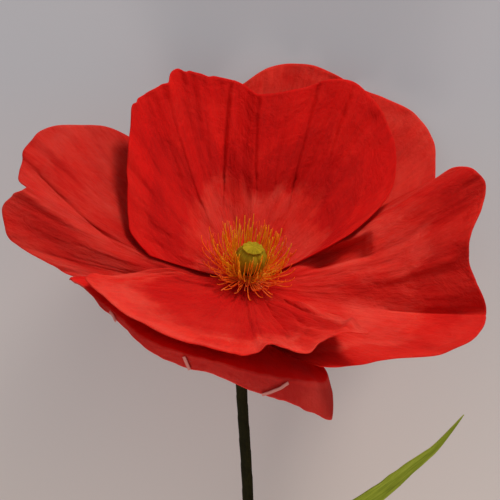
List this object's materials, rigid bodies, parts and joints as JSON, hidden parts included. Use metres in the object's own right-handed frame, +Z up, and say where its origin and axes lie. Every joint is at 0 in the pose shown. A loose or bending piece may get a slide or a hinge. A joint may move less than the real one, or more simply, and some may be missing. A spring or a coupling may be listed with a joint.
{
  "type": "crepe paper poppy",
  "caption": "Red crepe paper poppy with an open bloom, a rolled orange fringe round a green pod, and a taped wire stem with a leaf.",
  "frame": {"origin": "on the surface the flower lies on, under the middle of its box", "axes": "+Y along the stem from its cut end towards the bloom, +Z up from the surface, +X to the bloom's right"},
  "size_m": [0.1732, 0.3376, 0.1505],
  "materials": {
    "petal": "crinkled",
    "fringe_outer": "crinkled",
    "fringe_inner": "crinkled",
    "pod": "crinkled",
    "stigma": "crinkled",
    "wrap": "crinkled",
    "wire": "plain",
    "leaf": "crinkled",
    "strip": "smooth"
  },
  "bodies": {
    "root": {"petal_outer_back": "petal", "petal_left": "petal", "petal_outer_front": "petal", "petal_right": "petal", "petal_inner_front": "petal", "petal_inner_back": "petal", "fringe_inner": "fringe_inner", "fringe_outer": "fringe_outer", "seed_pod": "pod", "stigma_disc": "stigma", "stem_wire": "wire", "stem_wrap": "wrap", "root_binding": "wrap", "leaf": "leaf", "leaf_wire": "wrap", "glue_strip_left": "strip", "glue_strip_middle": "strip", "glue_strip_right": "strip"}
  },
  "joints": []
}
